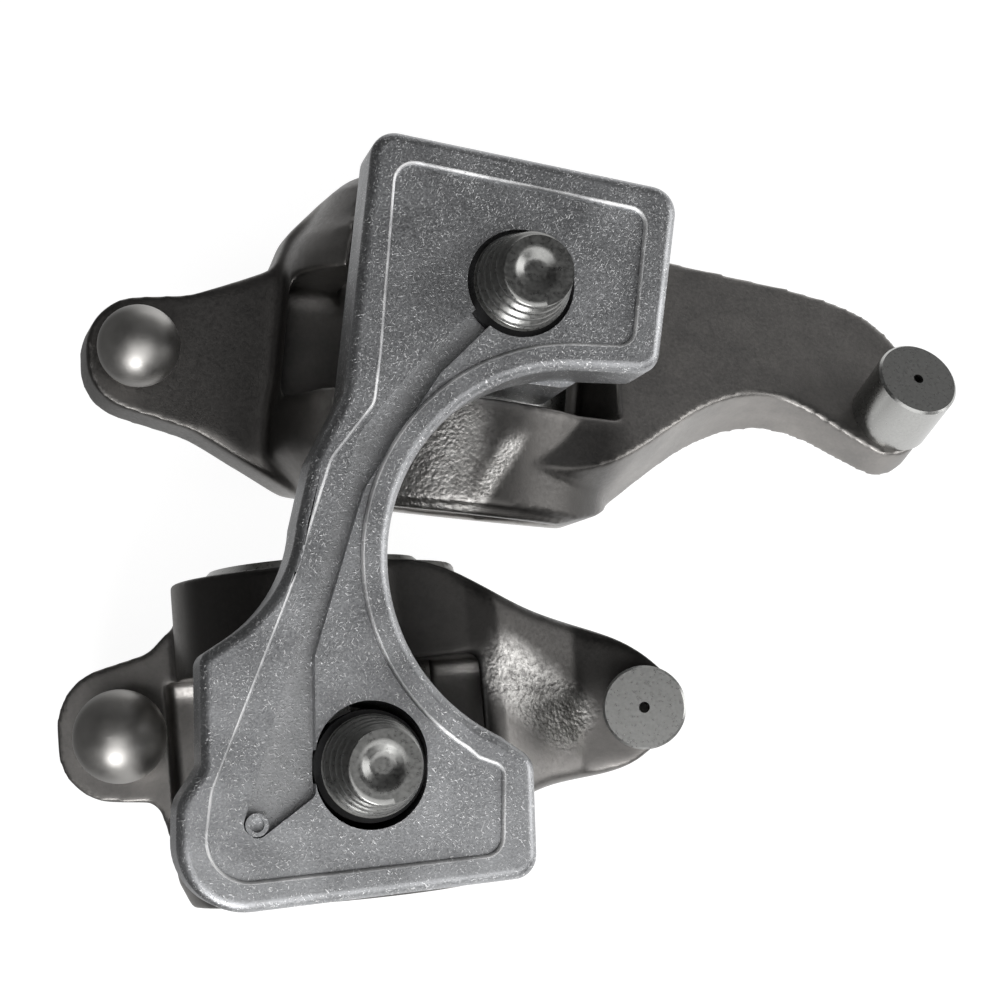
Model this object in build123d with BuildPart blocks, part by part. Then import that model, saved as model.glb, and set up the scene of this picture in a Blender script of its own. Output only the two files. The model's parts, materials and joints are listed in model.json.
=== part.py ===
from build123d import *
from math import cos, radians, sin
import os

# Two-lever rocker assembly for one cylinder of a four-valve engine, lying on its back.
# Origin: axis of the long lever's bolt, in the plane of the seat face.
# +Z out of the seat face, +X towards the valves, +Y along the row of bolts, all in millimetres.

# Bracket plate
plate_thickness = 6.0
plate_edge_round = 0.9
recess_depth = 0.45
groove_depth = 1.5
spring_arc_radius = 15.3       # clearance for the valve spring between the two levers
spring_arc_x = 4.6
spring_arc_y = -22.2
spring_arc_end = 246           # degrees, where the arc meets the lower end of the plate
seat_rim_width = 2.2           # rim left between the spring clearance and the recess
recess_arc_end = 239
neck_arc_radius = 11.4

# From the long lever's bolt, at the origin, to the middle of the short lever's shaft
short_shaft_x = -11.9
short_shaft_y = -39.0

# Bolts
short_bolt_shift = 0.5         # how far its bolt sits from there, in an oblong hole
short_hole_stretch = 1.15      # the hole's length beyond its width
bolt_diameter = 8.0            # of the thread that stands out of the seat face
shank_diameter = 7.2           # of the shank behind the rolled thread
bolt_hole_diameter = 8.8
bolt_tip_height = 4.9          # what stands out of the seat face
bolt_tip_radius = 3.05
bolt_lead_length = 2.4         # taper from the thread to the tip
bolt_dimple_rim = 1.6
bolt_dimple_floor = 1.05
bolt_dimple_depth = 0.4
flange_diameter = 15.0
flange_thickness = 1.6
head_flats = 12.0
head_height = 7.0
head_chamfer = 0.5
bolt_ring_height = 2.4
bolt_ring_depth = 1.2          # from the seat face to the rubber ring
ring_clearance = 0.02

# Shafts
shaft_depth = 23.0             # from the seat face to the shafts' axes
shaft_diameter = 19.0
shaft_bore_diameter = 6.4
shaft_flat_depth = 1.4
long_shaft_inner = 14.4        # from the bolt's axis to the end that faces the other lever
long_shaft_outer = 11.4
short_shaft_inner = 18.1
short_shaft_outer = 9.8
shaft_chamfer = 0.6
oil_hole_diameter = 2.0
plug_length = 3.0
plug_wall = 1.0
saddle_clearance = 0.02
running_clearance = 0.03

# Pedestals that carry the shafts
pedestal_half_width = 7.0
pedestal_inner_side = 7.0      # from the bolt's axis, towards the other lever
pedestal_outer_side = 5.3
pedestal_round = 2.0

# Windows in the hubs
window_floor = -2.0            # from the shaft's axis, towards the seat
window_foot_rise = 0.55        # of the slope at the foot of the outer wall, to its width
head_slot_top = -5.0
head_slot_half_length = 10.7
head_slot_half_width = 8.6
head_slot_round = 4.0
end_ring_length = 0.95
end_ring_step = 0.8

# Long lever
long_plan_angle = -4.5
long_swing = 3.0
long_hub_radius = 13.7
long_hub_inner = 17.8
long_hub_outer = 11.9
long_hub_round = 1.5
long_end_slant = 6.4           # degrees, of the hub's end that faces the other lever
long_window_inner = 7.9
long_window_outer = 5.9
long_window_foot = 2.5         # slope between the window's wall and its floor
long_window_pushrod_side = 16.5
long_root_radius = 16.8        # shoulder where the pushrod arm grows out of the hub
long_root_top = 10.4
long_root_near = 11.5          # the shoulder's near side, which slopes back to the far one
long_root_far = 13.0
long_root_wall = 2.4           # from the bolt's axis to the wall that it gives the window
long_root_foot = 1.5
long_window_valve_side = 11.8
long_boss_x = -29.0
long_boss_y = -5.4
long_boss_top = 0.0
long_boss_thickness = 6.0
long_arm_roll = -25.0          # the valve arm leans over towards its foot
long_arm_top = 6.5
long_arm_depth = 16.0
long_foot_x = 37.6
long_foot_y = -7.6
long_foot_diameter = 7.3
long_ball_diameter = 7.0

# Short lever
short_plan_angle = 5.0
short_swing = -16.0
short_hub_radius = 12.3
short_root_radius = 13.8       # where the pushrod arm grows out of the hub
short_root_slope = 0.5
short_root_inner = 4.0         # the root's ends, from the bolt's axis
short_root_outer = 8.0
short_hub_inner = 17.3
short_hub_outer = 10.2
short_window_inner = 9.0
short_window_outer = 5.9
short_window_foot = 1.4
short_window_pushrod_side = 13.5
short_window_valve_side = 14.35
short_boss_x = -16.8
short_boss_y = 4.7
short_boss_top = 0.6
short_boss_thickness = 7.0
short_arm_top = 4.0
short_frame_top = 9.6
short_arm_depth = 17.0
short_foot_x = 27.65
short_foot_y = 3.3
short_foot_diameter = 6.85
short_ball_diameter = 8.0

# Feet and ball pins
foot_height = 6.0
foot_chamfer = 0.2
foot_oil_hole = 0.9
spigot_diameter = 4.0
spigot_length = 2.6
press_clearance = 0.01
pin_chamfer = 0.4
pin_diameter = 5.0
pin_head_diameter = 4.8
ball_stand = 0.2               # from the ball's lowest point to the boss

os.makedirs("parts", exist_ok=True)

seat = Plane.XY
shaft_radius = shaft_diameter / 2


def at(frame, x=0, y=0, z=0, turn=(0, 0, 0)):
    """A plane placed and turned in a frame: X to the valves, Y along the shaft, Z to the seat."""
    return Plane(frame.location * Location((x, y, z), turn))


def along_shaft(frame, y):
    """A plane across the shaft at y: its own X is the frame's X and its Y is the frame's Z."""
    return at(frame, y=y, turn=(90, 0, 0))


def keep(part, name):
    """Names a finished piece and writes its file."""
    part.label = name
    export_step(part, "parts/" + name + ".step")


long_shaft_frame = Plane(Location((0, 0, -shaft_depth), (0, 0, long_plan_angle)))
short_shaft_frame = Plane(Location((short_shaft_x, short_shaft_y, -shaft_depth), (0, 0, short_plan_angle)))
long_frame = at(long_shaft_frame, turn=(0, long_swing, 0))
short_frame = at(short_shaft_frame, turn=(0, short_swing, 0))
long_arm_frame = at(long_frame, turn=(long_arm_roll, 0, 0))

# Each lever's side that faces the other lever: the long lever's is its -Y side, the short one's +Y.
long_side = -1
short_side = 1


def from_short_shaft(x, y):
    return (short_shaft_x + x, short_shaft_y + y)


def on_spring_arc(radius, angle):
    return (spring_arc_x + radius * cos(radians(angle)), spring_arc_y + radius * sin(radians(angle)))


# Outline of the plate, from the top of the spring clearance round to its lower end.
# Each corner has its own radius.
plate_upper_corners = [
    ((11.35, spring_arc_y + spring_arc_radius), 1.8),
    ((13.25, 8.3), 2.2),
    ((-12.05, 12.1), 2.0),
    ((-14.3, -9.6), 3.0),
    ((-16.8, -14.6), 3.0),
]
neck_upper_end = (-17.9, -19.8)
neck_lower_end = (-22.9, -28.6)
plate_lower_corners = [
    (from_short_shaft(-13.35, 8.8), 1.3),
    (from_short_shaft(-13.1, 0.4), 1.5),
    (from_short_shaft(-14.9, -2.3), 3.0),
    (from_short_shaft(-14.9, -11.2), 5.3),
    (from_short_shaft(13.2, -8.05), 1.9),
    (from_short_shaft(12.9, 1.05), 1.8),
]

# Outline of the shallow recess in the seat face
recess_arc_radius = spring_arc_radius + seat_rim_width
recess_corners = [
    ((9.1, spring_arc_y + recess_arc_radius), 1.3),
    ((10.3, 6.3), 1.3),
    ((-10.2, 9.4), 1.6),
    ((-11.3, -6.0), 2.0),
    ((-11.8, -10.3), 2.0),
    ((-15.2, -14.8), 3.0),
    ((-18.0, -24.2), 3.0),
    (from_short_shaft(-12.2, -1.6), 3.0),
    (from_short_shaft(-12.9, -8.6), 3.2),
    (from_short_shaft(10.2, -6.2), 1.4),
    (from_short_shaft(10.3, 0.4), 0.9),
    (from_short_shaft(8.3, 1.1), 0.9),
]

# Outline of the oil groove, from the long lever's bolt down the neck to the feed hole
oil_feed = from_short_shaft(-8.8, -4.0)
oil_feed_diameter = 1.1
oil_feed_depth = 0.4           # down to the ball that plugs it
oil_feed_pad_radius = 0.9
groove_start = (-2.2, -0.8)
groove_end = (-1.4, -2.4)
groove_corners = [
    ((-8.7, -7.2), 1.5),
    ((-13.2, -12.8), 4.0),
    ((-15.3, -20.4), 6.0),
    (from_short_shaft(-9.95, -4.3), 0.9),
    (from_short_shaft(-8.7, -5.2), 0.8),
    (from_short_shaft(-4.3, -1.8), 0.8),
    (from_short_shaft(-4.5, 8.9), 0.6),
    ((-12.6, -16.9), 6.0),
    ((-6.6, -7.6), 2.5),
]


def rounded_line(start, corners, end):
    """Line with each corner rounded to its own radius, for use inside a line block."""
    points = [start] + [point for point, radius in corners] + [end]
    FilletPolyline(points, radius=[radius for point, radius in corners])


def pedestal(frame, side):
    """Block between the plate's back and the shaft, around the bolt."""
    reach = pedestal_inner_side + pedestal_outer_side
    middle = side * (pedestal_inner_side - pedestal_outer_side) / 2
    with BuildPart() as block:
        with BuildSketch(at(frame, y=middle, z=shaft_depth - plate_thickness)):
            RectangleRounded(2 * pedestal_half_width, reach, pedestal_round)
        extrude(amount=-(shaft_depth - plate_thickness))
        with BuildSketch(along_shaft(frame, middle)):
            Circle(shaft_radius + saddle_clearance)
        extrude(amount=reach, both=True, mode=Mode.SUBTRACT)
    return block.part


pedestals = [pedestal(long_shaft_frame, long_side), pedestal(short_shaft_frame, short_side)]

with BuildPart() as rocker_bracket:
    with BuildSketch(seat):
        with BuildLine():
            rounded_line(on_spring_arc(spring_arc_radius, 90), plate_upper_corners, neck_upper_end)
            RadiusArc(neck_upper_end, neck_lower_end, neck_arc_radius)
            plate_end = on_spring_arc(spring_arc_radius, spring_arc_end)
            rounded_line(neck_lower_end, plate_lower_corners, plate_end)
            CenterArc((spring_arc_x, spring_arc_y), spring_arc_radius, 90, spring_arc_end - 90)
        make_face()
    extrude(amount=-plate_thickness)
    fillet(faces().sort_by(Axis.Z)[-1].edges(), plate_edge_round)
    with BuildSketch(seat):
        with BuildLine():
            recess_end = on_spring_arc(recess_arc_radius, recess_arc_end)
            rounded_line(on_spring_arc(recess_arc_radius, 90), recess_corners, recess_end)
            CenterArc((spring_arc_x, spring_arc_y), recess_arc_radius, 90, recess_arc_end - 90)
        make_face()
    extrude(amount=-recess_depth, mode=Mode.SUBTRACT)
    with BuildSketch(seat.offset(-recess_depth)):
        with BuildLine():
            rounded_line(groove_start, groove_corners, groove_end)
            Line(groove_end, groove_start)
        make_face()
        with Locations(oil_feed):
            Circle(oil_feed_pad_radius, mode=Mode.SUBTRACT)
    extrude(amount=-groove_depth, mode=Mode.SUBTRACT)
    add(pedestals)
    Hole(bolt_hole_diameter / 2)
    with BuildSketch(seat):
        with Locations(from_short_shaft(0, short_hole_stretch / 2)):
            SlotOverall(bolt_hole_diameter + short_hole_stretch, bolt_hole_diameter, rotation=90)
    extrude(amount=-shaft_depth, mode=Mode.SUBTRACT)
    with Locations(seat.offset(-recess_depth)):
        with Locations(oil_feed):
            Hole(oil_feed_diameter / 2, depth=oil_feed_depth)
keep(rocker_bracket.part, "rocker_bracket")


def shaft(frame, low, high):
    """Hollow shaft with a flat under the bolt's head and an oil hole each side of the pedestal."""
    middle = (low + high) / 2
    with BuildPart() as body:
        with BuildSketch(along_shaft(frame, middle)):
            Circle(shaft_radius)
        extrude(amount=(high - low) / 2, both=True)
        chamfer(edges().filter_by(GeomType.CIRCLE), shaft_chamfer)
        with BuildSketch(along_shaft(frame, middle)):
            Circle(shaft_bore_diameter / 2)
        extrude(amount=high - low, both=True, mode=Mode.SUBTRACT)
        with BuildSketch(at(frame, z=-shaft_radius)):
            Rectangle(shaft_diameter, 2 * head_slot_half_width)
        extrude(amount=shaft_flat_depth, mode=Mode.SUBTRACT)
        with BuildSketch(at(frame)):
            Circle(bolt_hole_diameter / 2)
        extrude(amount=shaft_diameter, both=True, mode=Mode.SUBTRACT)
        with BuildSketch(at(frame)):
            with Locations((0, (low - head_slot_half_width) / 2), (0, (high + head_slot_half_width) / 2)):
                Circle(oil_hole_diameter / 2)
        extrude(amount=shaft_diameter, mode=Mode.SUBTRACT)
    return body.part


def end_plug(frame, end, outwards):
    """Cup pressed into one end of a shaft's bore, its mouth outwards."""
    plane = at(frame, y=end, turn=(90 * outwards, 0, 0))
    with BuildPart() as cup:
        with BuildSketch(plane):
            Circle(shaft_bore_diameter / 2 - press_clearance)
        extrude(amount=plug_length)
        with BuildSketch(plane):
            Circle(shaft_bore_diameter / 2 - plug_wall)
        extrude(amount=plug_length - plug_wall, mode=Mode.SUBTRACT)
    return cup.part


for lever, frame, low, high in (
    ("long", long_shaft_frame, -long_shaft_inner, long_shaft_outer),
    ("short", short_shaft_frame, -short_shaft_outer, short_shaft_inner),
):
    keep(shaft(frame, low, high), lever + "_rocker_shaft")
    keep(end_plug(frame, low + shaft_chamfer, -1), lever + "_shaft_front_plug")
    keep(end_plug(frame, high - shaft_chamfer, 1), lever + "_shaft_rear_plug")


def bolt(x, y):
    """Flanged hexagon bolt, head down on the shaft's flat, tip out of the seat face."""
    head_seat = -(shaft_depth + shaft_radius - shaft_flat_depth)
    with BuildPart() as body:
        with BuildSketch(Plane((x, y, head_seat))):
            Circle(shank_diameter / 2)
        extrude(amount=-head_seat)
        with BuildSketch(Plane((x, y, 0))):
            Circle(bolt_diameter / 2)
        extrude(amount=bolt_tip_height - bolt_lead_length)
        with Locations((x, y, bolt_tip_height - bolt_lead_length / 2)):
            Cone(bolt_diameter / 2, bolt_tip_radius, bolt_lead_length)
        with Locations((x, y, bolt_tip_height - bolt_dimple_depth / 2)):
            Cone(bolt_dimple_floor, bolt_dimple_rim, bolt_dimple_depth, mode=Mode.SUBTRACT)
        with BuildSketch(Plane((x, y, head_seat))):
            Circle(flange_diameter / 2)
        extrude(amount=-flange_thickness)
        with BuildSketch(Plane((x, y, head_seat - flange_thickness))):
            RegularPolygon(head_flats / 2, 6, major_radius=False)
        extrude(amount=-head_height)
        chamfer(faces().sort_by(Axis.Z)[0].edges(), head_chamfer)
    return body.part


def bolt_ring(x, y):
    """Rubber ring between the bolt and its hole."""
    with BuildPart() as ring:
        with BuildSketch(Plane((x, y, -bolt_ring_depth))):
            Circle(bolt_hole_diameter / 2 - ring_clearance)
            Circle(shank_diameter / 2 + ring_clearance, mode=Mode.SUBTRACT)
        extrude(amount=-bolt_ring_height)
    return ring.part


for lever, place in (("long", (0, 0)), ("short", from_short_shaft(0, short_bolt_shift))):
    keep(bolt(*place), lever + "_bolt")
    keep(bolt_ring(*place), lever + "_bolt_ring")


def hub(frame, profile):
    """Barrel turned round the shaft: the profile gives its radius at places along the shaft."""
    ends = (profile[0][0], profile[-1][0])
    with BuildPart() as barrel:
        with BuildSketch(at(frame)):
            with BuildLine():
                Polyline([(0, ends[0])] + [(radius, y) for y, radius in profile] + [(0, ends[1])], close=True)
            make_face()
        revolve(axis=Axis(frame.origin, frame.y_dir))
    return barrel.part


def window(frame, low, high, pushrod_side, valve_side, wall_foot):
    """Pocket down to the window's floor, with a slope at the foot of its outer wall."""
    with BuildPart() as pocket:
        with BuildSketch(at(frame, (valve_side - pushrod_side) / 2, (low + high) / 2, window_floor)):
            Rectangle(valve_side + pushrod_side, high - low)
        extrude(amount=shaft_diameter)
        floor = faces().sort_by(Axis(frame.origin, frame.z_dir))[0]
        outer_edge = floor.edges().sort_by(Axis(frame.origin, frame.y_dir))[-1]
        chamfer(outer_edge, wall_foot, window_foot_rise * wall_foot, reference=floor)
    return pocket.part


def hub_openings(frame, low, high, pushrod_side, valve_side, wall_foot):
    """Bore for the shaft, window for the pedestal and slot for the bolt's head."""
    pocket = window(frame, low, high, pushrod_side, valve_side, wall_foot)
    with BuildPart() as openings:
        add(pocket)
        with BuildSketch(along_shaft(frame, 0)):
            Circle(shaft_radius + running_clearance)
        extrude(amount=2 * shaft_diameter, both=True)
        with BuildSketch(at(frame, z=head_slot_top)):
            RectangleRounded(2 * head_slot_half_length, 2 * head_slot_half_width, head_slot_round)
        extrude(amount=-shaft_diameter)
    return openings.part


long_hub_profile = [
    (-long_hub_inner, long_hub_radius - end_ring_step),
    (-long_hub_inner + end_ring_length, long_hub_radius - end_ring_step),
    (-long_hub_inner + end_ring_length, long_hub_radius),
    (long_hub_outer - long_hub_round, long_hub_radius),
    (long_hub_outer, long_hub_radius - long_hub_round),
]
short_hub_profile = [
    (-short_hub_outer, short_hub_radius),
    (-short_root_outer, short_root_radius - short_root_slope),
    (-short_root_inner, short_root_radius),
    (0.0, short_hub_radius),
    (short_hub_inner, short_hub_radius),
]
long_root_profile = [
    (-15.5, long_hub_radius),
    (-13.0, long_root_radius),
    (4.0, long_root_radius),
    (6.0, 16.2),
    (7.4, 15.2),
    (9.8, 13.9),
    (long_hub_outer, long_hub_radius - long_hub_round),
]
long_hub = hub(long_frame, long_hub_profile)
short_hub = hub(short_frame, short_hub_profile)
long_openings = hub_openings(
    long_frame, -long_window_inner, long_window_outer, long_window_pushrod_side, long_window_valve_side,
    long_window_foot
)
short_openings = hub_openings(
    short_frame, -short_window_outer, short_window_inner, short_window_pushrod_side, short_window_valve_side,
    short_window_foot
)


def root_shoulder(frame, profile):
    """Sector of a barrel beside the pedestal, with the end of the window cut into it."""
    pocket = window(frame, -long_window_inner, long_root_wall, long_window_pushrod_side, 0, long_root_foot)
    barrel = hub(frame, profile)
    with BuildPart() as shoulder:
        add(barrel)
        with BuildSketch(along_shaft(frame, 0)):
            with BuildLine():
                Polyline(
                    (-long_root_near, -long_boss_thickness), (-long_root_near, long_hub_radius / 2),
                    (-long_root_far, long_root_top), (-long_root_radius, long_root_top),
                    (-long_root_radius, -long_boss_thickness), close=True,
                )
            make_face()
        extrude(amount=2 * long_hub_inner, both=True, mode=Mode.INTERSECT)
        add(pocket, mode=Mode.SUBTRACT)
    return shoulder.part


long_root = root_shoulder(long_frame, long_root_profile)

with BuildPart() as long_rocker_arm:
    # Valve arm: the plan outline, cut to a thickness that tapers towards the foot
    with BuildSketch(at(long_arm_frame, z=long_arm_top)):
        with BuildLine():
            top_side = Line((0, 8.2), (14.0, 7.4))
            shoulder = Spline(top_side @ 1, (20.3, 6.2), (31.1, 5.0), (37.2, 2.8), (40.0, -1.1))
            end_side = Line(shoulder @ 1, (long_foot_x + 3.0, long_foot_y))
            end_round = RadiusArc(end_side @ 1, (long_foot_x - 1.0, long_foot_y - 4.2), 4.0)
            under_side = Spline(
                end_round @ 1,
                (33.0, -9.9), (26.4, -7.0), (21.3, -8.3), (15.4, -12.7), (10.5, -16.3), (5.0, -17.4),
            )
            root = Polyline(under_side @ 1, (0, -17.4), (0, 8.2))
        make_face()
    extrude(amount=-long_arm_depth)
    with BuildSketch(at(long_arm_frame, turn=(90, 0, 0))):
        with BuildLine():
            Polyline(
                (-1, long_arm_top), (45, long_arm_top), (45, 3.6), (31, 2.2), (12, -3.4), (-1, -5.0),
                close=True,
            )
        make_face()
    extrude(amount=long_foot_x, both=True, mode=Mode.INTERSECT)
    # Pushrod arm
    with BuildSketch(at(long_frame, z=long_boss_top)):
        with BuildLine():
            FilletPolyline(
                [(0, -16.0), (-13.7, -16.0), (-23.3, -11.4), (-32.5, -9.6), (-33.5, -1.1), (-24.5, 0.4),
                 (-17.5, 3.8), (-16.6, 7.0), (-13.6, 10.6), (0, 11.0)],
                radius=[0, 3.0, 6.0, 4.6, 4.6, 8.0, 1.5, 2.0, 0.5, 0],
                close=True,
            )
        make_face()
    extrude(amount=-long_boss_thickness)
    add(long_hub)
    add(long_openings, mode=Mode.SUBTRACT)
    add(long_root)
    with BuildSketch(at(long_frame, y=-long_hub_inner, z=long_hub_radius, turn=(90 + long_end_slant, 0, 0))):
        Rectangle(4 * long_hub_radius, 5 * long_hub_radius)
    extrude(amount=long_hub_inner, mode=Mode.SUBTRACT)
    with BuildSketch(at(long_frame)):
        with BuildLine():
            Polyline(
                (6.0, -long_hub_inner), (11.2, -15.9), (12.6, -15.1), (13.9, -13.8), (16.0, -12.4),
                (16.0, -20.0), (6.0, -20.0), close=True,
            )
        make_face()
    extrude(amount=2 * long_hub_radius, both=True, mode=Mode.SUBTRACT)
    with Locations(at(long_frame, long_boss_x, long_boss_y, long_boss_top)):
        Hole(pin_diameter / 2 + press_clearance, depth=long_boss_thickness)
    with Locations(at(long_arm_frame, long_foot_x, long_foot_y, long_arm_top)):
        Hole(spigot_diameter / 2 + press_clearance, depth=spigot_length + press_clearance)
keep(long_rocker_arm.part, "long_rocker_arm")

with BuildPart() as short_rocker_arm:
    # Valve arm: the plan outline, cut to a step down from the window's frame to the foot
    with BuildSketch(at(short_frame, z=short_frame_top)):
        with BuildLine():
            top_side = Spline((7.3, 17.4), (12.1, 16.3), (18.6, 12.4), (25.8, 9.3), (30.0, 5.6))
            end_round = ThreePointArc(
                top_side @ 1, (short_foot_x + 3.3, short_foot_y), (short_foot_x + 0.4, short_foot_y - 3.3)
            )
            under_side = Spline(end_round @ 1, (23.6, -1.9), (19.0, -2.5), (16.0, -3.7), (10.0, -9.0))
            root = Polyline(under_side @ 1, (0, -9.0), (0, 17.4), (7.3, 17.4))
        make_face()
    extrude(amount=-short_arm_depth)
    with BuildSketch(at(short_frame, turn=(90, 0, 0))):
        with BuildLine():
            Polyline(
                (-1, short_frame_top), (16.0, short_frame_top), (22.4, short_arm_top), (34, short_arm_top),
                (34, -2.2), (14, -6.0), (-1, -7.0), close=True,
            )
        make_face()
    extrude(amount=short_foot_x, both=True, mode=Mode.INTERSECT)
    # Pushrod arm
    with BuildSketch(at(short_frame, z=short_boss_top)):
        with BuildLine():
            FilletPolyline(
                [(0, -6.4), (-13.4, -6.4), (-14.9, -1.2), (-23.35, -0.4), (-23.15, 9.8), (-14.9, 11.7),
                 (-12.1, 14.2), (-12.1, 16.5), (0, 16.5)],
                radius=[0, 2.0, 1.5, 5.0, 5.2, 3.0, 1.6, 0.5, 0],
                close=True,
            )
        make_face()
    extrude(amount=-short_boss_thickness)
    add(short_hub)
    add(short_openings, mode=Mode.SUBTRACT)
    with Locations(at(short_frame, short_boss_x, short_boss_y, short_boss_top)):
        Hole(pin_diameter / 2 + press_clearance, depth=short_boss_thickness)
    with Locations(at(short_frame, short_foot_x, short_foot_y, short_arm_top)):
        Hole(spigot_diameter / 2 + press_clearance, depth=spigot_length + press_clearance)
keep(short_rocker_arm.part, "short_rocker_arm")


def valve_foot(name, frame, x, y, top, diameter):
    """Ground pad with a spigot in the lever and an oil hole through it."""
    with BuildPart() as foot:
        with BuildSketch(at(frame, x, y, top + foot_height)):
            Circle(diameter / 2)
        extrude(amount=-foot_height)
        chamfer(edges().group_by(Axis(frame.origin, frame.z_dir))[-1], foot_chamfer)
        with BuildSketch(at(frame, x, y, top)):
            Circle(spigot_diameter / 2)
        extrude(amount=-spigot_length)
        with BuildSketch(at(frame, x, y, top)):
            Circle(foot_oil_hole / 2)
        extrude(amount=2 * foot_height, both=True, mode=Mode.SUBTRACT)
    keep(foot.part, name)


valve_foot("long_valve_foot", long_arm_frame, long_foot_x, long_foot_y, long_arm_top, long_foot_diameter)
valve_foot("short_valve_foot", short_frame, short_foot_x, short_foot_y, short_arm_top, short_foot_diameter)


def ball_pin(name, frame, place, thickness, ball_diameter):
    """Pin pressed through the boss, with the ball for the pushrod's cup."""
    x, y, top = place
    ball_middle = top + ball_stand + ball_diameter / 2
    with BuildPart() as pin:
        with BuildSketch(at(frame, x, y, top - thickness)):
            Circle(pin_diameter / 2)
        extrude(amount=thickness)
        chamfer(edges().group_by(Axis(frame.origin, frame.z_dir))[0], pin_chamfer)
        with BuildSketch(at(frame, x, y, top)):
            Circle(pin_head_diameter / 2)
        extrude(amount=ball_middle - top)
        with Locations(at(frame, x, y, ball_middle)):
            Sphere(ball_diameter / 2)
    keep(pin.part, name)


long_boss = (long_boss_x, long_boss_y, long_boss_top)
short_boss = (short_boss_x, short_boss_y, short_boss_top)
ball_pin("long_ball_pin", long_frame, long_boss, long_boss_thickness, long_ball_diameter)
ball_pin("short_ball_pin", short_frame, short_boss, short_boss_thickness, short_ball_diameter)
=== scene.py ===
import json
from math import atan2, cos, pi, radians

import bmesh
import bpy
from mathutils import Matrix, Vector


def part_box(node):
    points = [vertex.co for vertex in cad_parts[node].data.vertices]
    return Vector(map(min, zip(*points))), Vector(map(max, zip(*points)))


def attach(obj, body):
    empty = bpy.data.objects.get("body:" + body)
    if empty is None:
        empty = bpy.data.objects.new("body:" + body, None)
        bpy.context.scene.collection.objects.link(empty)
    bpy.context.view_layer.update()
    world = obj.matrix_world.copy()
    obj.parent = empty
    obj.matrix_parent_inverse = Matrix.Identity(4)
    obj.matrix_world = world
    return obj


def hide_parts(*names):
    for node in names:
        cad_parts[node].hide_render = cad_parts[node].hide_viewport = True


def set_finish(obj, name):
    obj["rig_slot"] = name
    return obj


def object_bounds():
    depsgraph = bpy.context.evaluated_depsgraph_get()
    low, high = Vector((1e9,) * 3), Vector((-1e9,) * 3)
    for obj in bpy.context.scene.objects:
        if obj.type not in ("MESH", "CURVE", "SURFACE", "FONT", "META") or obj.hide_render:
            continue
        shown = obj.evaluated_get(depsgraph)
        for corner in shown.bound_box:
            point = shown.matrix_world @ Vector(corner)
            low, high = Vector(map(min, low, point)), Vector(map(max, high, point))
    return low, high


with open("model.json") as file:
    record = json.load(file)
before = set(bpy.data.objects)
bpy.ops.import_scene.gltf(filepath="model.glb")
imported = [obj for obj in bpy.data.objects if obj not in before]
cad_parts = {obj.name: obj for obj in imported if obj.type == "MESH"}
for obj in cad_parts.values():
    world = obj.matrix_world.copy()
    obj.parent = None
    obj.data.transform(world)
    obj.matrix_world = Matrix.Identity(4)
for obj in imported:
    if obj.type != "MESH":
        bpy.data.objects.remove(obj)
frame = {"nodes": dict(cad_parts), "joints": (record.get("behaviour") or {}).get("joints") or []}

bl_info = {
    "name": "Two-lever rocker assembly",
    "version": (1, 0, 0),
    "blender": (4, 5, 0),
    "location": "3D View > Sidebar > Rocker",
    "description": "Finishes a cast rocker bracket with its two levers, shafts, bolts and feet",
    "category": "Object",
}

MM = 0.001
GROOVE_FLOOR = -1.95    # of the oil groove, in millimetres from the seat face
CAD_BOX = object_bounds()

# Angles between faces: the bracket's flat areas, its edges to round, and its smoothly shaded ones
FLAT_ANGLE = radians(0.5)
EDGE_ANGLE = radians(28)
SMOOTH_ANGLE = radians(32)
SEAT_CORNER = radians(50)

# How far a bolt's shank reaches into its threaded end, which starts at the seat face
THREAD_OVERLAP = 0.02 * MM

# Smoothing steps over a whole lever, and where its arms blend into the hub; share of faces kept
SMOOTH_ALL = 6
SMOOTH_BLENDS = 36
FACES_KEPT = 0.7


def linear(hex_code):
    """Turns an sRGB colour such as "#8a8c90" into the linear values that materials take."""
    parts = [int(hex_code[i:i + 2], 16) / 255 for i in (1, 3, 5)]
    return [c / 12.92 if c <= 0.04045 else ((c + 0.055) / 1.055) ** 2.4 for c in parts]


def rgba(hex_code):
    """An sRGB colour as an opaque linear one."""
    return opaque(linear(hex_code))


def opaque(colour, level=1.0):
    """A linear colour with its alpha, made darker or lighter by a level."""
    return (*[c * level for c in colour], 1.0)


def colour_property(name, description, hex_code):
    return bpy.props.FloatVectorProperty(
        name=name, description=description, default=linear(hex_code),
        subtype="COLOR", size=3, min=0.0, max=1.0,
    )


def length_property(name, description, millimetres):
    return bpy.props.FloatProperty(
        name=name, description=description, default=millimetres * MM,
        unit="LENGTH", precision=5, min=0.0,
    )


def power_property(name, description, watts):
    return bpy.props.FloatProperty(name=name, description=description, default=watts, unit="POWER")


def level_property(name, description, level):
    return bpy.props.FloatProperty(name=name, description=description, default=level, min=0.0)


class RockerCastingSizes(bpy.types.PropertyGroup):
    """Sizes of the castings' skin."""

    bracket_edge: length_property("Bracket edge", "Rounding of the bracket's edges", 0.18)
    recess_edge_round: length_property("Recess edge round", "Rounding of the recess's upper edges", 0.27)
    lever_grain: length_property("Lever grain", "Size of the faces in the levers' skin", 0.30)


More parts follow.
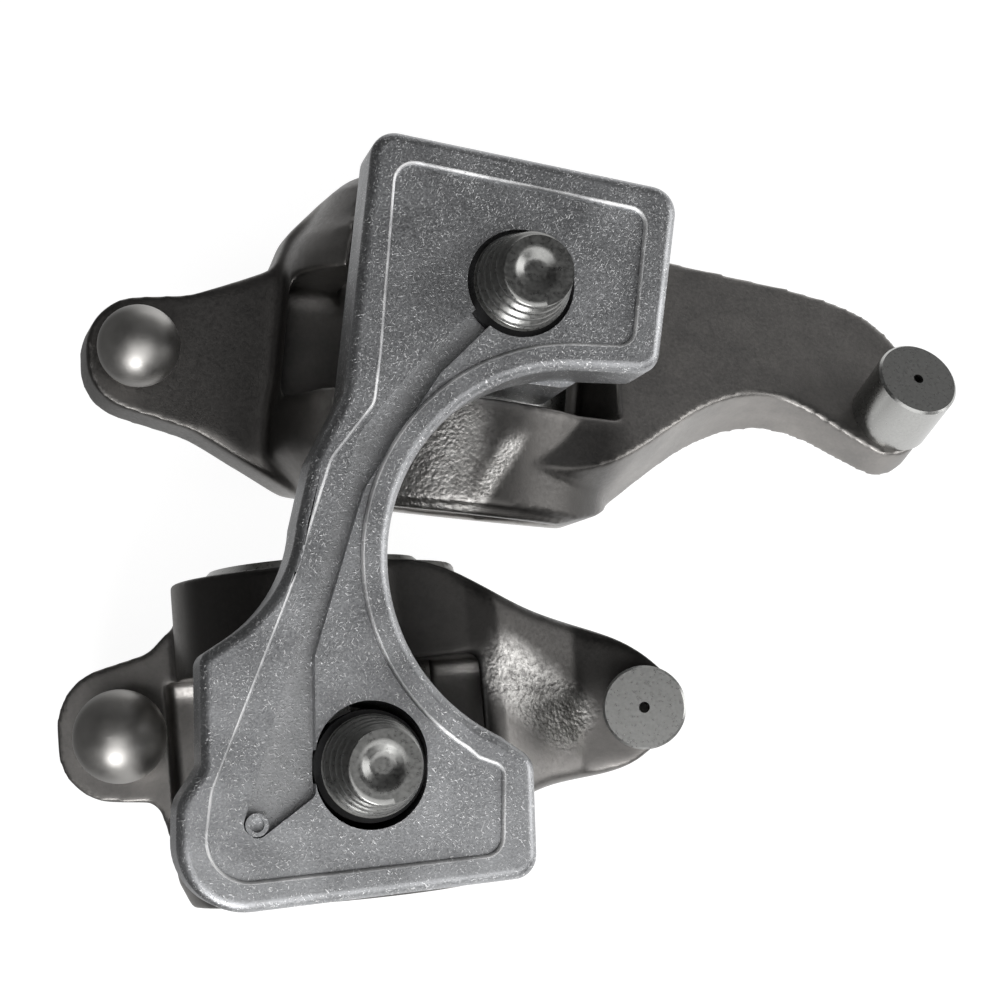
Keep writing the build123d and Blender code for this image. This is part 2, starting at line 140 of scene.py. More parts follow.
class RockerBoltSizes(bpy.types.PropertyGroup):
    """Sizes of the bolts' threads."""

    pitch: length_property("Thread pitch", "Rise of the thread in one turn", 1.25)
    depth: length_property("Thread depth", "From the crest to the root on the tapered end", 0.42)
    crest: length_property("Crest", "Radius of the thread at the seat face", 4.0)
    tip: length_property("Tip", "Radius of the tip's flat end", 3.05)
    dimple_rim: length_property("Dimple rim", "Radius of the dimple at the tip", 1.6)
    dimple_floor: length_property("Dimple floor", "Radius of the dimple's flat floor", 1.05)
    dimple_depth: length_property("Dimple depth", "From the tip to the dimple's floor", 0.4)
    dimple_round: length_property("Dimple round", "Rounding of the dimple's edges", 0.18)
    ring: length_property("Ring", "Height of one ring of faces on the thread", 0.1)
    steps: bpy.props.IntProperty(
        name="Steps", description="Faces in one turn", default=90, min=12, max=180
    )


class RockerColours(bpy.types.PropertyGroup):
    """Colours of the finishes."""

    blasted_dark: colour_property("Blasted, dark", "Blasted iron between the flecks", "#aeafb1")
    # Also the colour of the painted light on the groove's floor and of the painted highlight on the
    # recess's edge
    blasted_flecks_and_highlight: colour_property("Blasted, light", "Flecks that the shot left", "#f4f4f4")
    forged_dark: colour_property("Forged, dark", "Dark scale of the levers", "#83817f")
    forged_light: colour_property("Forged, light", "Rubbed scale of the levers", "#989592")
    rough_light: colour_property("Rough skin", "Bright skin where the shot reached", "#d2d0cd")
    ground: colour_property("Ground steel", "Shafts and feet", "#b0b0ae")
    polished: colour_property("Polished steel", "Balls", "#b4b2af")
    turned: colour_property("Turned steel", "Bolts", "#969694")
    floor: colour_property("Floor", "Plain pale floor", "#f2f2f2")


class RockerLight(bpy.types.PropertyGroup):
    """Levels of the studio light."""

    key: power_property("Key", "Power of the low lamp in front", 1.6)
    top: power_property("Top", "Power of the wide lamp above", 2.9)
    side: power_property("Side", "Power of the lamp to the right", 1.2)
    horizon: level_property("Horizon", "Level of the room's walls", 0.24)
    zenith: level_property("Zenith", "Level of the room's ceiling", 0.09)


# Each lever's joint, and the swing in degrees from its rest to its own frame, which has its origin
# on the shaft's axis, X to the valves, Y along the shaft and Z to the seat
LEVER_JOINTS = {"long": ("long_rocker_swing", 3.0), "short": ("short_rocker_swing", -16.0)}


def lever_frame(lever):
    """Matrix of a lever's own frame, from its joint's place and axis."""
    joint_name, swing = LEVER_JOINTS[lever]
    joint = next(j for j in frame["joints"] if j["name"] == joint_name)
    along = Vector(joint["axis"]).normalized()
    if along.y < 0:
        along = -along
    across = along.cross(Vector((0, 0, 1))).normalized()
    up = across.cross(along)
    turned = Matrix.Rotation(radians(swing), 3, along) @ Matrix((across, along, up)).transposed()
    return Matrix.Translation(Vector(joint["pos_m"])) @ turned.to_4x4()


def alone(piece):
    """Makes a piece the only one selected, and active."""
    bpy.ops.object.select_all(action="DESELECT")
    piece.select_set(True)
    bpy.context.view_layer.objects.active = piece


def modify(piece, kind, **settings):
    """Adds a modifier with its settings and applies it."""
    alone(piece)
    modifier = piece.modifiers.new(kind.title(), kind)
    for key, value in settings.items():
        setattr(modifier, key, value)
    bpy.ops.object.modifier_apply(modifier=modifier.name)


def free_copy(node, name):
    """A copy of a node's mesh as a piece of its own, its loose triangles merged into one skin."""
    piece = bpy.data.objects.new(name, frame["nodes"][node].data.copy())
    bpy.context.scene.collection.objects.link(piece)
    alone(piece)
    bpy.ops.object.mode_set(mode="EDIT")
    bpy.ops.mesh.select_all(action="SELECT")
    bpy.ops.mesh.remove_doubles(threshold=0.002 * MM)
    bpy.ops.object.mode_set(mode="OBJECT")
    return piece


def place_in_mesh(piece, matrix):
    """Moves a piece by a matrix, and takes the move into its mesh."""
    alone(piece)
    piece.matrix_world = matrix
    bpy.ops.object.transform_apply(location=True, rotation=True, scale=False)


def between(value, low, high, edge):
    """1 where a value lies between low and high, fading to 0 over the width of an edge."""
    inside = min(value - low, high - value) / edge + 0.5
    inside = min(max(inside, 0.0), 1.0)
    return inside * inside * (3 - 2 * inside)


def mark(piece, name, lever, weight):
    """Stores a weight for each point, from its place in millimetres in the lever's own frame."""
    inward = lever_frame(lever).inverted()
    places = [inward @ vertex.co / MM for vertex in piece.data.vertices]
    attribute = piece.data.attributes.new(name, "FLOAT", "POINT")
    attribute.data.foreach_set("value", [weight(place) for place in places])


def on_ridge(place):
    """The ridge that the dies left beside the rough end of the long hub."""
    off_line = (place.x - 0.2) - 0.54 * (place.y + 14.0)
    length = between(place.y, -17.6, -11.0, 2.0)
    return between(off_line, -0.8, 0.8, 1.0) * length * between(place.z, 6.0, 20.0, 3.0)


def long_rough(place):
    """The long hub's end on the side of the seat."""
    near_end = between(place.y, -17.8, -7.6, 3.4) * between(place.z, 6.0, 20.0, 3.0)
    return max(near_end * between(place.x, -13.0, -1.6, 4.4), on_ridge(place))


def short_rough(place):
    """A patch on the slope from the short lever's frame down to its arm."""
    fall = 9.6 - 5.6 * (place.x - 16.0) / 6.4
    along = 0.73 * (place.x - 18.6) - 0.69 * (place.y - 5.4)
    across = 0.69 * (place.x - 18.6) + 0.73 * (place.y - 5.4)
    patch = between(along, -4.6, 5.0, 2.6) * between(across, -2.1, 2.1, 2.2)
    return patch * between(place.z - fall, -1.6, 1.6, 1.0)


def long_painted_shade(place):
    """Painted shade on the pushrod arm, the hub's far end, and its corner with the valve arm."""
    corner = between(place.x, -2.0, 12.0, 4.0) * between(place.y, -18.0, -8.0, 3.0)
    corner *= between(place.z, 4.0, 20.0, 3.0)
    far_end = between(place.x, -20.0, 2.0, 4.0) * between(place.y, 6.0, 20.0, 3.0)
    far_end *= between(place.z, 0.0, 20.0, 3.0)
    pushrod_arm = 0.62 * between(place.x, -45.0, -15.0, 4.0)
    return max(pushrod_arm, 0.6 * far_end, 0.85 * corner * (1.0 - on_ridge(place)))


def short_painted_shade(place):
    """Painted shade over all but the lower side of the valve arm, which gets less of it."""
    frame_top = between(place.z, 6.8, 20.0, 2.0) * between(place.x, -10.0, 15.6, 3.0)
    hub_side = between(place.x, -20.0, -3.0, 4.0) * between(place.z, 0.0, 20.0, 4.0)
    arm = between(place.x, 13.0, 40.0, 2.0) * (0.35 + 0.65 * between(place.y, 4.6, 30.0, 4.0))
    return max(0.9 * frame_top, 0.15 * hub_side, arm)


def long_soft(place):
    """The blend between the pushrod arm and the hub."""
    return between(place.x, -22.5, -13.4, 3.0) * between(place.z, -12.0, 8.0, 2.0)


def short_soft(place):
    """The blend between the window's frame and the valve arm."""
    return between(place.x, 13.6, 25.0, 3.0) * between(place.z, -1.0, 14.0, 2.0)


LEVERS = ("long", "short")
SOFT = {"long": long_soft, "short": short_soft}
ROUGH = {"long": long_rough, "short": short_rough}
# Weights of the painted shade on each lever
PAINTED_SHADE = {"long": long_painted_shade, "short": short_painted_shade}


def stand_for(piece, node, body, slot, material):
    """Gives a finished piece its material, its body and its slot, and hides the node that it stands
    for.
    """
    piece.data.materials.clear()
    piece.data.materials.append(material)
    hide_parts(node)
    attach(piece, body)
    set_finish(piece, slot)


# The nodes that keep their own mesh, and their material slots
SLOT_OF = {
    "long_rocker_shaft": "ground_steel",
    "short_rocker_shaft": "ground_steel",
    "long_shaft_front_plug": "plug_steel",
    "long_shaft_rear_plug": "plug_steel",
    "short_shaft_front_plug": "plug_steel",
    "short_shaft_rear_plug": "plug_steel",
    "long_bolt_ring": "black_rubber",
    "short_bolt_ring": "black_rubber",
    "long_ball_pin": "polished_steel",
    "short_ball_pin": "polished_steel",
    "long_valve_foot": "ground_steel",
    "short_valve_foot": "ground_steel",
}


def dress(node, material):
    """Gives a node that keeps its own mesh a material."""
    for material_slot in frame["nodes"][node].material_slots:
        material_slot.material = material
    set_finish(frame["nodes"][node], frame["nodes"][node].get("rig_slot", SLOT_OF[node]))


def per_mm(size):
    """Texture scale at which one feature is size millimetres wide."""
    return 1 / (size * MM)


def add_node(material, kind, inputs=None, **settings):
    """Adds a node; inputs are values or outputs to link, and settings are its own options."""
    node = material.node_tree.nodes.new(kind)
    for key, value in settings.items():
        setattr(node, key, value)
    for key, value in (inputs or {}).items():
        if isinstance(value, bpy.types.NodeSocket):
            material.node_tree.links.new(value, node.inputs[key])
        else:
            node.inputs[key].default_value = value
    return node


def new_material(name, **shader_values):
    """A material with one Principled shader, its constant values set on its own sockets."""
    material = bpy.data.materials.new(name)
    material.use_nodes = True
    shader = material.node_tree.nodes["Principled BSDF"]
    for key, value in shader_values.items():
        shader.inputs[key.title()].default_value = value
    return material, shader, add_node(material, "ShaderNodeTexCoord").outputs["Object"]


def ramp(material, fac, stops):
    """A colour ramp over fac, between two stops of position and rgba."""
    node = add_node(material, "ShaderNodeValToRGB", {"Fac": fac})
    for element, (position, colour) in zip(node.color_ramp.elements, stops):
        element.position = position
        element.color = colour
    return node.outputs["Color"]


def span(material, value, low, high, to_low=0.0, to_high=1.0):
    """Maps a value from low..high to to_low..to_high, held at the ends."""
    node = add_node(
        material, "ShaderNodeMapRange",
        {"Value": value, "From Min": low, "From Max": high, "To Min": to_low, "To Max": to_high},
    )
    return node.outputs["Result"]


def noise_fac(material, vector, size, detail=2.0, roughness=0.5):
    """A noise whose features are size millimetres wide."""
    inputs = {"Vector": vector, "Scale": per_mm(size), "Detail": detail, "Roughness": roughness}
    return add_node(material, "ShaderNodeTexNoise", inputs).outputs["Fac"]


def math(material, operation, first, second=0.0):
    """One step of arithmetic among a material's nodes."""
    node = add_node(material, "ShaderNodeMath", {0: first, 1: second}, operation=operation)
    return node.outputs["Value"]


def times(material, first, second):
    return math(material, "MULTIPLY", first, second)


def larger(material, first, second):
    return math(material, "MAXIMUM", first, second)


def plus(material, first, second):
    return math(material, "ADD", first, second)


def mixed_colour(material, fac, first, second):
    node = add_node(material, "ShaderNodeMix", {0: fac, 6: first, 7: second}, data_type="RGBA")
    return node.outputs[2]


def part_of(material, vector, axis):
    """One of a vector's three parts: X, Y or Z."""
    return add_node(material, "ShaderNodeSeparateXYZ", {"Vector": vector}).outputs[axis]


def mask(material, name):
    """The weights that a mesh carries under a name."""
    return add_node(material, "ShaderNodeAttribute", attribute_name=name).outputs["Fac"]


def bump(material, shader, height, distance):
    """Lets a shader's surface rise by a height, in steps of a distance in millimetres."""
    inputs = {"Height": height, "Distance": distance * MM, "Strength": 1.0}
    node = add_node(material, "ShaderNodeBump", inputs)
    material.node_tree.links.new(node.outputs["Normal"], shader.inputs["Normal"])


def link(material, output, shader, socket):
    material.node_tree.links.new(output, shader.inputs[socket])


def blasted_iron():
    """Cast iron, shot-blasted: even grey, bright flecks where the shot glanced off, painted light
    on the groove and the recess edge.
    """
    colours = bpy.context.scene.rocker_colours
    material, shader, place = new_material("shot_blasted_iron", metallic=1.0)
    flecks = 0.0
    for angle, size in ((12, 0.42), (67, 0.36), (129, 0.48)):
        turned = add_node(
            material, "ShaderNodeMapping",
            {"Vector": place, "Rotation": (0.0, 0.0, radians(angle)), "Scale": (1.0, 0.3, 1.0)},
            vector_type="TEXTURE",
        ).outputs["Vector"]
        one_way = span(material, noise_fac(material, turned, size, 1.0), 0.65, 0.73)
        flecks = larger(material, flecks, one_way)
    patches = span(material, noise_fac(material, place, 2.4, 2.0), 0.38, 0.60, 0.4, 1.0)
    flecks = times(material, flecks, patches)

    grain = noise_fac(material, place, 0.20, 3.0, 0.65)
    cloud = noise_fac(material, place, 4.0, 3.0)
    tone = plus(material, times(material, grain, 0.5), times(material, cloud, 0.5))
    iron = colours.blasted_dark
    base = ramp(material, tone, [(0.36, opaque(iron, 0.6)), (0.64, opaque(iron, 1.1))])

    # Painted light: the oil groove's floor is painted lighter, for the light that it catches
    depth = math(material, "SUBTRACT", part_of(material, place, "Z"), GROOVE_FLOOR * MM)
    level = span(material, math(material, "ABSOLUTE", depth), 0.2 * MM, 0.4 * MM, 1.0, 0.0)
    facing = add_node(material, "ShaderNodeNewGeometry").outputs["True Normal"]
    groove = times(material, level, span(material, part_of(material, facing, "Z"), 0.8, 0.95))

    # Painted highlight: the recess's upper edge is painted bright, in patches, where it catches the
    # light
    recess_edge_faces = mask(material, "recess_edge_round")
    painted_edge_highlight = times(material, recess_edge_faces, span(material, cloud, 0.40, 0.60, 0.35, 0.9))

    light = larger(material, times(material, flecks, 0.9), times(material, groove, 0.16))
    light = larger(material, light, painted_edge_highlight)
    colour = mixed_colour(material, light, base, opaque(colours.blasted_flecks_and_highlight))
    link(material, colour, shader, "Base Color")
    matt = span(material, grain, 0.3, 0.7, 0.38, 0.50)
    matt = larger(material, matt, times(material, recess_edge_faces, 0.58))
    link(material, matt, shader, "Roughness")
    height = plus(material, times(material, grain, 0.5), times(material, flecks, 0.9))
    bump(material, shader, height, 0.020)
    return material


def forged_steel():
    """Forged steel, tumbled: scale painted dark with shade where the mesh is marked so, lighter and
    pebbled where it is marked as rough.
    """
    colours = bpy.context.scene.rocker_colours
    material, shader, place = new_material("forged_scale_steel", metallic=1.0)
    rough = mask(material, "rough_skin")
    # Weights of the painted shade
    dark = mask(material, "painted_shade")
    cloud = noise_fac(material, place, 4.0, 4.0, 0.6)
    grain = noise_fac(material, place, 0.30, 3.0, 0.6)
    tone = plus(material, times(material, cloud, 0.65), times(material, grain, 0.35))
    scale = ramp(
        material, tone, [(0.36, opaque(colours.forged_dark)), (0.64, opaque(colours.forged_light))]
    )
    # Painted shade: the scale goes nearly black where the shade is painted
    base = mixed_colour(material, times(material, dark, 0.85), scale, rgba("#272625"))
    broken = span(material, noise_fac(material, place, 0.9, 4.0, 0.7), 0.36, 0.58)
    bright = times(material, rough, plus(material, 0.35, times(material, broken, 0.65)))
    colour = mixed_colour(material, bright, base, opaque(colours.rough_light))
    link(material, colour, shader, "Base Color")
    link(material, span(material, grain, 0.3, 0.7, 0.36, 0.50), shader, "Roughness")

    pebbles = add_node(
        material, "ShaderNodeTexVoronoi",
        {"Vector": place, "Scale": per_mm(0.32), "Smoothness": 0.8},
        feature="SMOOTH_F1",
    ).outputs["Distance"]
    lumps = noise_fac(material, place, 0.42, 3.0, 0.6)
    lumps = plus(material, times(material, pebbles, -0.7), lumps)
    height = plus(material, times(material, grain, 0.10), times(material, lumps, rough))
    bump(material, shader, height, 0.11)
    return material


def bare_steel(name, colour, size, darkest, tones, roughness):
    """Bare steel with a faint pattern of a size, its tones up to a darkest level."""
    material, shader, place = new_material(name, metallic=1.0)
    cloud = noise_fac(material, place, size, 3.0)
    base = ramp(material, cloud, [(tones[0], opaque(colour, darkest)), (tones[1], opaque(colour))])
    link(material, base, shader, "Base Color")
    link(material, span(material, cloud, 0.3, 0.7, *roughness), shader, "Roughness")
    return material


def ground_steel():
    """Hardened steel, ground: a soft sheen with hardly any grain."""
    colour = bpy.context.scene.rocker_colours.ground
    return bare_steel("ground_steel", colour, 0.25, 0.88, (0.35, 0.65), (0.26, 0.36))


def polished_steel():
    """Bearing steel, polished: soft reflections, faintly clouded."""
    colour = bpy.context.scene.rocker_colours.polished
    return bare_steel("polished_steel", colour, 1.6, 0.88, (0.3, 0.7), (0.40, 0.48))


def turned_steel():
    """Bolt steel, turned and oiled: a darker grey with a fine, uneven gloss."""
    colour = bpy.context.scene.rocker_colours.turned
    return bare_steel("turned_bolt_steel", colour, 0.3, 0.8, (0.35, 0.65), (0.26, 0.38))


def drawn_steel():
    """Sheet steel, drawn into a cup: dull grey, faintly clouded."""
    material, shader, place = new_material("drawn_plug_steel", metallic=1.0, roughness=0.4)
    cloud = noise_fac(material, place, 0.8, 3.0)
    base = ramp(material, cloud, [(0.3, rgba("#707070")), (0.7, rgba("#8c8c8a"))])
    link(material, base, shader, "Base Color")
    return material


def rubber():
    """Nitrile rubber, moulded: black and matt."""
    material, shader, place = new_material("nitrile_rubber", roughness=0.75)
    grain = noise_fac(material, place, 0.4, 2.0)
    base = ramp(material, grain, [(0.3, rgba("#0f0f10")), (0.7, rgba("#1c1c1d"))])
    link(material, base, shader, "Base Color")
    bump(material, shader, grain, 0.01)
    return material


class RockerMaterial(bpy.types.PropertyGroup):
    """A finished material under the name of its maker."""

    material: bpy.props.PointerProperty(
        name="Material", description="The material", type=bpy.types.Material
    )


def fetch(material_maker):
    """The material that a function makes, made once."""
    store = bpy.context.scene.rocker_made
    for made in store:
        if made.name == material_maker.__name__:
            return made.material
    made = store.add()
    made.name = material_maker.__name__
    made.material = material_maker()
    return made.material


def select_seat_edges(piece):
    """Selects the upper edges of the recess in the seat face."""
    bpy.ops.mesh.select_mode(type="EDGE")
    bpy.ops.mesh.select_all(action="DESELECT")
    shape = bmesh.from_edit_mesh(piece.data)
    for edge in shape.edges:
        ends = [vertex.co for vertex in edge.verts]
        on_seat = all(end.z > -0.1 * MM for end in ends)
        if on_seat and edge.is_convex and edge.calc_face_angle(0) > SEAT_CORNER:
            edge.select_set(True)
    bmesh.update_edit_mesh(piece.data)


class ROCKER_OT_bracket(bpy.types.Operator):
    """Casts the bracket with soft edges and blasts it"""

    bl_idname = "rocker.bracket"
    bl_label = "Bracket"

    def execute(self, context):
        sizes = context.scene.rocker_casting
        piece = free_copy("rocker_bracket", "bracket_casting")
        bpy.ops.object.mode_set(mode="EDIT")
        bpy.ops.mesh.select_all(action="SELECT")
        bpy.ops.mesh.dissolve_limited(angle_limit=FLAT_ANGLE)
        select_seat_edges(piece)
        bpy.ops.mesh.bevel(offset=sizes.recess_edge_round, segments=4, affect="EDGES")
        bpy.ops.object.mode_set(mode="OBJECT")
        # Painted highlight: the rounded recess edge's faces are marked for the iron's material to
        # paint bright
        recess_edge_faces = piece.data.attributes.new("recess_edge_round", "FLOAT", "FACE")
        recess_edge_faces.data.foreach_set("value", [float(face.select) for face in piece.data.polygons])
        modify(
            piece, "BEVEL", width=sizes.bracket_edge, segments=3,
            limit_method="ANGLE", angle_limit=EDGE_ANGLE,
        )
        alone(piece)
        bpy.ops.object.shade_smooth_by_angle(angle=SMOOTH_ANGLE)
        modify(piece, "WEIGHTED_NORMAL", keep_sharp=True)
        stand_for(piece, "rocker_bracket", "bracket", "shot_blasted_casting", fetch(blasted_iron))
        return {"FINISHED"}


class ROCKER_OT_levers(bpy.types.Operator):
    """Forges the two levers with soft edges"""

    bl_idname = "rocker.levers"
    bl_label = "Levers"

    def execute(self, context):
        sizes = context.scene.rocker_casting
        for lever in LEVERS:
            node = lever + "_rocker_arm"
            piece = free_copy(node, lever + "_lever_forging")
            own_frame = lever_frame(lever)
            place_in_mesh(piece, own_frame.inverted())
            modify(piece, "REMESH", mode="VOXEL", voxel_size=sizes.lever_grain)
            modify(piece, "SMOOTH", factor=0.5, iterations=SMOOTH_ALL)
            soft = piece.vertex_groups.new(name="soft")
            for vertex in piece.data.vertices:
                weight = SOFT[lever](vertex.co / MM)
                if weight > 0:
                    soft.add([vertex.index], weight, "REPLACE")
            modify(piece, "SMOOTH", factor=0.5, iterations=SMOOTH_BLENDS, vertex_group="soft")
            modify(piece, "DECIMATE", decimate_type="COLLAPSE", ratio=FACES_KEPT)
            place_in_mesh(piece, own_frame)
            mark(piece, "rough_skin", lever, ROUGH[lever])
            # Painted shade: weights of where the lever is painted darker
            mark(piece, "painted_shade", lever, PAINTED_SHADE[lever])
            alone(piece)
            bpy.ops.object.shade_smooth()
            stand_for(piece, node, lever + "_lever", "forged_steel", fetch(forged_steel))
        return {"FINISHED"}


def threaded_end(x, y, tip, sizes):
    """A bolt's end above the seat face: a tapered thread, a flat tip and a dimple in it."""
    count = round(tip / sizes.ring)
    heights = [tip * i / count for i in range(count + 1)]
    floor = tip - sizes.dimple_depth
    soft = sizes.dimple_round
    outline = [(0.0, 0.0), (sizes.tip, 0.0)]
    outline += [(sizes.crest + (sizes.tip - sizes.crest) * z / tip, z) for z in heights]
    outline += [
        (sizes.tip - sizes.depth - sizes.ring, tip),
        (sizes.dimple_rim + 2.5 * soft, tip), (sizes.dimple_rim + soft, tip),
        (sizes.dimple_rim - 0.3 * soft, tip - 0.5 * soft),
        (sizes.dimple_floor + 0.3 * soft, floor + 0.5 * soft),
        (sizes.dimple_floor - soft, floor), (sizes.dimple_floor - 2.5 * soft, floor), (0.0, floor),
    ]
    lines = [(i, i + 1) for i in range(len(outline) - 1)]
    mesh = bpy.data.meshes.new("threaded_end")
    mesh.from_pydata([(r, 0, z) for r, z in outline], lines, [])
    end = bpy.data.objects.new("threaded_end", mesh)
    bpy.context.scene.collection.objects.link(end)
    modify(
        end, "SCREW", axis="Z", angle=2 * pi, steps=sizes.steps, render_steps=sizes.steps,
        use_merge_vertices=True, merge_threshold=0.001 * MM,
    )
    for vertex in end.data.vertices:
        radius = vertex.co.xy.length
        if radius > sizes.tip - sizes.ring:
            turn = vertex.co.z / sizes.pitch - atan2(vertex.co.y, vertex.co.x) / (2 * pi)
            vertex.co.xy *= 1 - sizes.depth * (0.5 - 0.5 * cos(2 * pi * turn)) / radius
    place_in_mesh(end, Matrix.Translation((x, y, 0)))
    bpy.ops.object.mode_set(mode="EDIT")
    bpy.ops.mesh.select_all(action="SELECT")
    bpy.ops.mesh.remove_doubles(threshold=0.001 * MM)
    bpy.ops.mesh.normals_make_consistent(inside=False)
    bpy.ops.object.mode_set(mode="OBJECT")
    return end


class ROCKER_OT_bolts(bpy.types.Operator):
    """Gives the bolts their threaded ends"""

    bl_idname = "rocker.bolts"
    bl_label = "Bolts"

    def execute(self, context):
        sizes = context.scene.rocker_bolts
        for lever in LEVERS:
            node = lever + "_bolt"
            low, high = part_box(node)
            x, y = (low.x + high.x) / 2, (low.y + high.y) / 2
            end = threaded_end(x, y, high.z, sizes)
            piece = free_copy(node, lever + "_threaded_bolt")
            bpy.ops.object.mode_set(mode="EDIT")
            bpy.ops.mesh.select_all(action="SELECT")
            bpy.ops.mesh.bisect(
                plane_co=(0, 0, THREAD_OVERLAP), plane_no=(0, 0, 1), use_fill=True, clear_outer=True
            )
            bpy.ops.object.mode_set(mode="OBJECT")
            alone(piece)
            end.select_set(True)
            bpy.ops.object.join()
            bpy.ops.object.shade_smooth_by_angle(angle=SMOOTH_ANGLE)
            modify(piece, "WEIGHTED_NORMAL", keep_sharp=True)
            stand_for(piece, node, "bracket", "bolt_steel", fetch(turned_steel))
        return {"FINISHED"}


class ROCKER_OT_steel(bpy.types.Operator):
    """Finishes the shafts, plugs, feet, ball pins and rubber rings"""

    bl_idname = "rocker.steel"
    bl_label = "Shafts, feet and pins"

    def execute(self, context):
        makers = {
            "ground_steel": ground_steel,
            "plug_steel": drawn_steel,
            "black_rubber": rubber,
            "polished_steel": polished_steel,
        }
        for node, slot in SLOT_OF.items():
            dress(node, fetch(makers[slot]))
        return {"FINISHED"}


# Camera of the photograph, seen from above and a little to the left; the photograph's frame is as
# high as it is wide, and the render's size is not set here.
CAMERA_PLACE = Vector((-42.83, -40.34, 181.51)) * MM
CAMERA_RIGHT = Vector((0.9754, 0.0, 0.2202))
CAMERA_BACK = Vector((-0.2186, -0.1212, 0.9683))
CAMERA_LENS = 85.5
CAMERA_SENSOR = 36.0


def area_lamp(name, place, target, width, height, power):
    """A rectangular soft lamp at a place, pointing at a target."""
    data = bpy.data.lights.new(name, "AREA")
    data.shape = "RECTANGLE"
    data.size = width
    data.size_y = height
    data.energy = power
    lamp = bpy.data.objects.new(name, data)
    lamp.location = place
    lamp.rotation_euler = (Vector(target) - Vector(place)).to_track_quat("-Z", "Y").to_euler()
    bpy.context.scene.collection.objects.link(lamp)
    return lamp


def studio_room(light):
    """The room round the table: walls under a darker ceiling, darker on the left as well."""
    world = bpy.data.worlds.new("studio_room")
    world.use_nodes = True
    direction = add_node(world, "ShaderNodeTexCoord").outputs["Generated"]
    level = span(world, part_of(world, direction, "Z"), 0.25, 0.75, light.horizon, light.zenith)
    across = part_of(world, direction, "X")
    level = times(world, level, span(world, across, -0.6, 0.1, 0.35, 1.0))
    background = world.node_tree.nodes["Background"]
    background.inputs["Color"].default_value = rgba("#ffffff")
    world.node_tree.links.new(level, background.inputs["Strength"])
    return world


# Where the floor falls off into shade on the left, in millimetres from its middle
FLOOR_SHADE = (-50.0, -10.0)
FLOOR_GLOW = 1.24


def pale_floor():
    """Laminate, matt and pale: plain, and white to the camera and in reflections."""
    material, shader, place = new_material("pale_laminate", roughness=0.8)
    colour = opaque(bpy.context.scene.rocker_colours.floor)
    cloud = noise_fac(material, place, 60.0, 2.0)
    lighter = ramp(material, cloud, [(0.3, colour), (0.7, rgba("#f6f6f6"))])
    link(material, lighter, shader, "Base Color")
    rays = add_node(material, "ShaderNodeLightPath").outputs
    mirrored = larger(material, rays["Is Glossy Ray"], rays["Is Transmission Ray"])
    seen = larger(material, times(material, rays["Is Camera Ray"], 0.75), mirrored)
    across = part_of(material, place, "X")
    lit_side = span(material, across, FLOOR_SHADE[0] * MM, FLOOR_SHADE[1] * MM, 0.1, 1.0)
    level = times(material, larger(material, rays["Is Camera Ray"], lit_side), FLOOR_GLOW)
    glow = add_node(material, "ShaderNodeEmission", {"Color": (1, 1, 1, 1), "Strength": level})
    mixed = add_node(
        material, "ShaderNodeMixShader",
        {0: seen, 1: shader.outputs["BSDF"], 2: glow.outputs["Emission"]},
    )
    output = material.node_tree.nodes["Material Output"]
    material.node_tree.links.new(mixed.outputs["Shader"], output.inputs["Surface"])
    return material


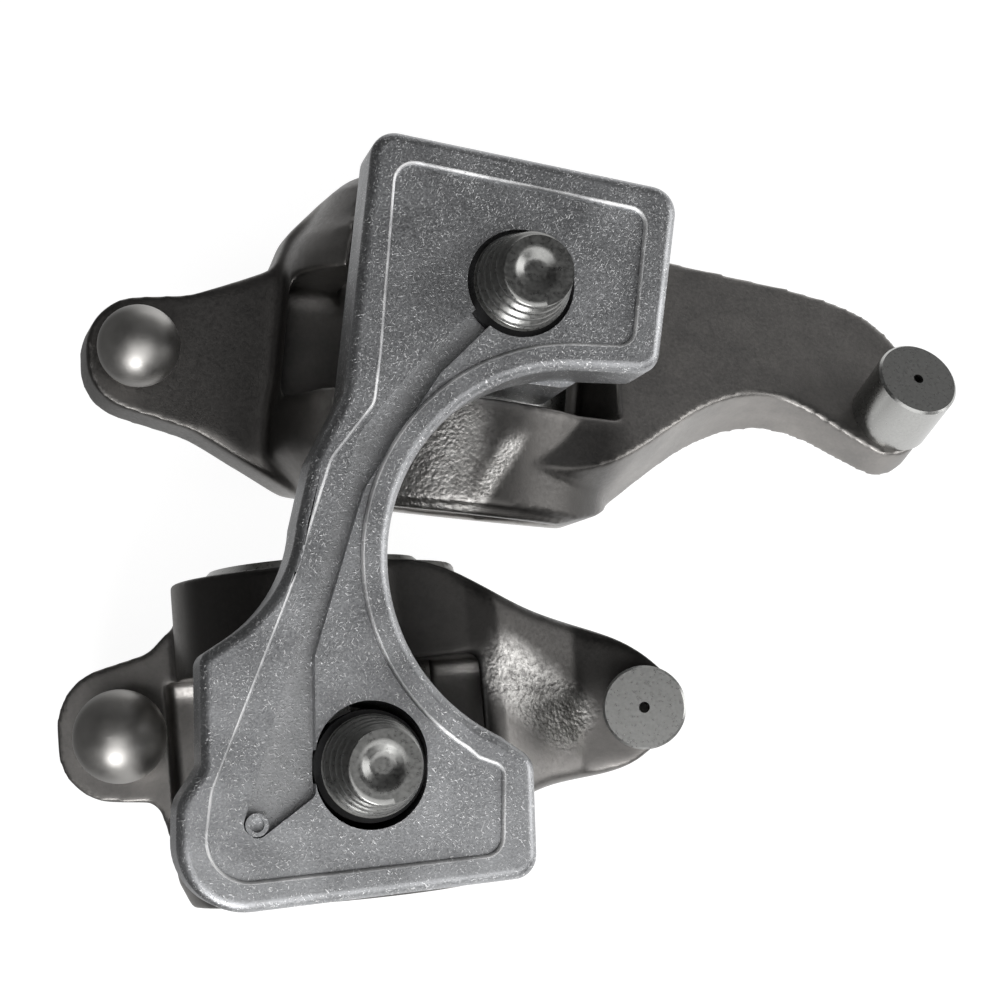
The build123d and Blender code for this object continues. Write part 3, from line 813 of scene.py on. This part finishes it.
class ROCKER_OT_stage(bpy.types.Operator):
    """Sets the floor, the soft light and the camera"""

    bl_idname = "rocker.stage"
    bl_label = "Stage"

    def execute(self, context):
        scene = context.scene
        light = scene.rocker_light
        low, high = CAD_BOX
        target = (low + high) / 2
        bpy.ops.object.select_all(action="DESELECT")
        bpy.ops.mesh.primitive_plane_add(size=4.0, location=(target.x, target.y, low.z))
        floor = context.active_object
        floor.name = "floor"
        floor.data.materials.append(pale_floor())

        area_lamp("key_lamp", (-0.12, -0.47, 0.24), target, 0.20, 0.20, light.key)
        area_lamp("top_lamp", (0.0, -0.44, 0.60), (0.0, -0.44, 0.0), 0.80, 0.70, light.top)
        area_lamp("side_lamp", (0.49, 0.02, 0.24), target, 0.34, 0.34, light.side)
        scene.world = studio_room(light)

        data = bpy.data.cameras.new("photo_camera")
        data.lens = CAMERA_LENS
        data.sensor_width = CAMERA_SENSOR
        data.clip_start = 0.01
        camera = bpy.data.objects.new("photo_camera", data)
        up = CAMERA_BACK.cross(CAMERA_RIGHT)
        turn = Matrix((CAMERA_RIGHT, up, CAMERA_BACK)).transposed()
        camera.matrix_world = Matrix.Translation(CAMERA_PLACE) @ turn.to_4x4()
        scene.collection.objects.link(camera)
        scene.camera = camera
        scene.view_settings.view_transform = "Standard"
        return {"FINISHED"}


STEPS = (ROCKER_OT_bracket, ROCKER_OT_levers, ROCKER_OT_bolts, ROCKER_OT_steel, ROCKER_OT_stage)
GROUPS = {
    "rocker_casting": RockerCastingSizes,
    "rocker_bolts": RockerBoltSizes,
    "rocker_colours": RockerColours,
    "rocker_light": RockerLight,
}


class ROCKER_PT_panel(bpy.types.Panel):
    """Lists the steps that make the rocker assembly"""

    bl_idname = "ROCKER_PT_panel"
    bl_label = "Rocker assembly"
    bl_space_type = "VIEW_3D"
    bl_region_type = "UI"
    bl_category = "Rocker"

    def draw(self, context):
        for group in GROUPS:
            box = self.layout.box()
            settings = getattr(context.scene, group)
            for name in settings.__annotations__:
                box.prop(settings, name)
        for step in STEPS:
            self.layout.operator(step.bl_idname)


def register():
    for group in (*GROUPS.values(), RockerMaterial):
        bpy.utils.register_class(group)
    for name, group in GROUPS.items():
        setattr(bpy.types.Scene, name, bpy.props.PointerProperty(type=group))
    bpy.types.Scene.rocker_made = bpy.props.CollectionProperty(type=RockerMaterial)
    for step in (*STEPS, ROCKER_PT_panel):
        bpy.utils.register_class(step)


def unregister():
    for step in reversed((*STEPS, ROCKER_PT_panel)):
        bpy.utils.unregister_class(step)
    del bpy.types.Scene.rocker_made
    for name in GROUPS:
        delattr(bpy.types.Scene, name)
    for group in (RockerMaterial, *reversed(GROUPS.values())):
        bpy.utils.unregister_class(group)


def main():
    register()
    bpy.ops.rocker.bracket()
    bpy.ops.rocker.levers()
    bpy.ops.rocker.bolts()
    bpy.ops.rocker.steel()
    bpy.ops.rocker.stage()


if __name__ == "__main__":
    main()
